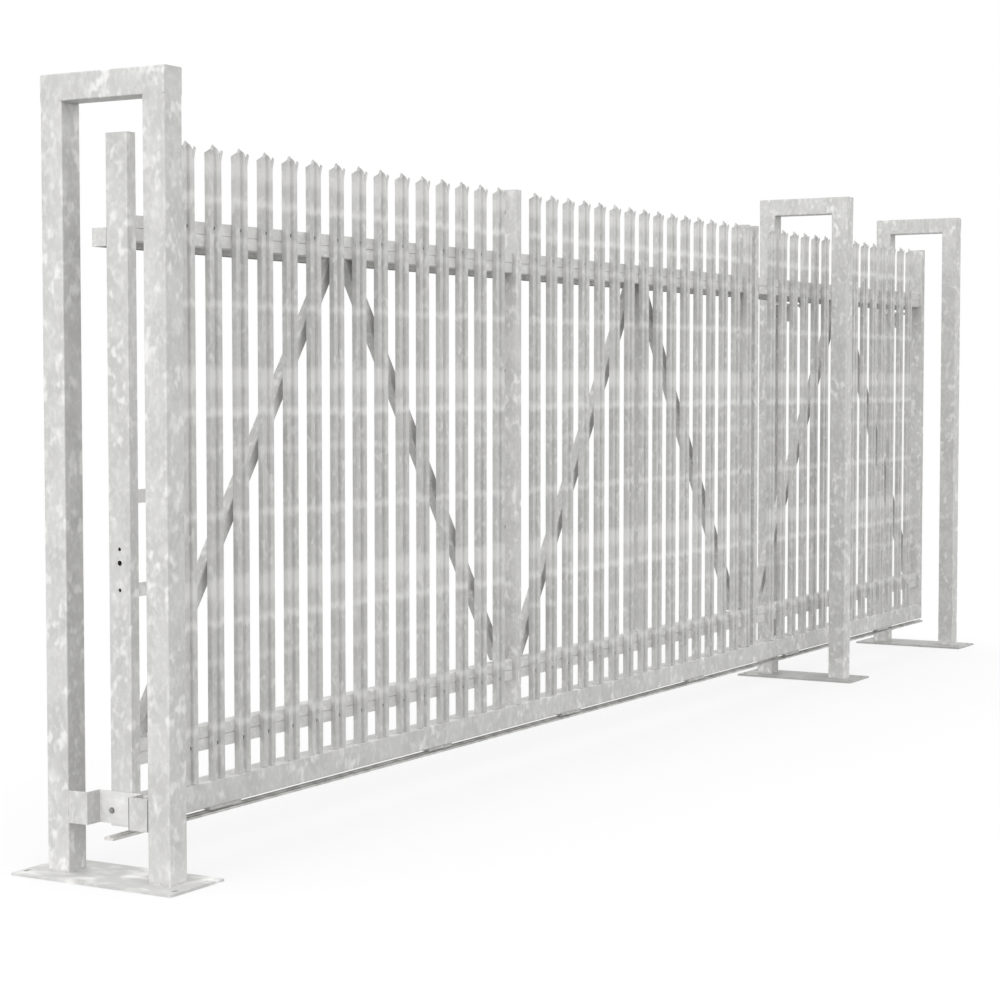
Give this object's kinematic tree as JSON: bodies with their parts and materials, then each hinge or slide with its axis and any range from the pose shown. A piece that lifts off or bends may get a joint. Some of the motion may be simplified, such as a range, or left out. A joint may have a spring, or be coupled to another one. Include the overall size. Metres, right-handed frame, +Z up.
{
  "type": "palisade sliding gate",
  "caption": "Tracked sliding gate: a galvanised palisade leaf that rolls through goal-post portals with base plates, a ground track and an end stop.",
  "frame": {"origin": "under the middle of the first (closing) portal's base plate, on its underside", "axes": "+X along the leaf, the way it opens; +Y to the back of the gate, away from the pales; +Z up"},
  "size_m": [8.895, 0.74, 2.93],
  "materials": {
    "galvanised_steel": "hot-dip galvanised, mottled satin",
    "pale_sheet": "galvanised rolled sheet, satin",
    "track_steel": "galvanised, polished on the running ridge",
    "wheel_steel": "zinc plated, turned",
    "roller_nylon": "turned black nylon",
    "buffer_rubber": "moulded rubber"
  },
  "bodies": {
    "fixed_frame": {"portal_1_base_plate": "galvanised_steel", "portal_1_back_post": "galvanised_steel", "portal_1_front_post": "galvanised_steel", "portal_1_top_beam": "galvanised_steel", "portal_2_base_plate": "galvanised_steel", "portal_2_back_post": "galvanised_steel", "portal_2_front_post": "galvanised_steel", "portal_2_top_beam": "galvanised_steel", "portal_3_base_plate": "galvanised_steel", "portal_3_back_post": "galvanised_steel", "portal_3_front_post": "galvanised_steel", "portal_3_top_beam": "galvanised_steel", "portal_beam_caps": "galvanised_steel", "track_strip": "track_steel", "track_ridge": "track_steel", "stop_arms": "galvanised_steel", "stop_plate": "galvanised_steel", "stop_buffer": "buffer_rubber", "portal_2_guide_bracket": "galvanised_steel", "portal_2_guide_rollers": "roller_nylon", "portal_3_guide_bracket": "galvanised_steel", "portal_3_guide_rollers": "roller_nylon"},
    "leaf": {"bottom_pale_angles": "galvanised_steel", "bottom_rails": "galvanised_steel", "falling_braces": "galvanised_steel", "guide_rail": "galvanised_steel", "guide_rail_end": "galvanised_steel", "leading_stile": "galvanised_steel", "lock_bars": "galvanised_steel", "middle_stile": "galvanised_steel", "panel_1_pales": "pale_sheet", "panel_2_pales": "pale_sheet", "panel_3_pales": "pale_sheet", "rising_braces": "galvanised_steel", "sill": "galvanised_steel", "sill_end_plates": "galvanised_steel", "splice_stile_front": "galvanised_steel", "splice_stile_rear": "galvanised_steel", "stile_caps": "galvanised_steel", "top_pale_angles": "galvanised_steel", "top_rails": "galvanised_steel", "trailing_stile": "galvanised_steel", "wheel_axles": "wheel_steel", "wheel_frames": "galvanised_steel", "wheels": "wheel_steel"}
  },
  "joints": [
    {"name": "leaf_slide", "type": "slide", "parent": "fixed_frame", "child": "leaf", "axis": [1, 0, 0], "range_m": [0, 6.28]}
  ]
}
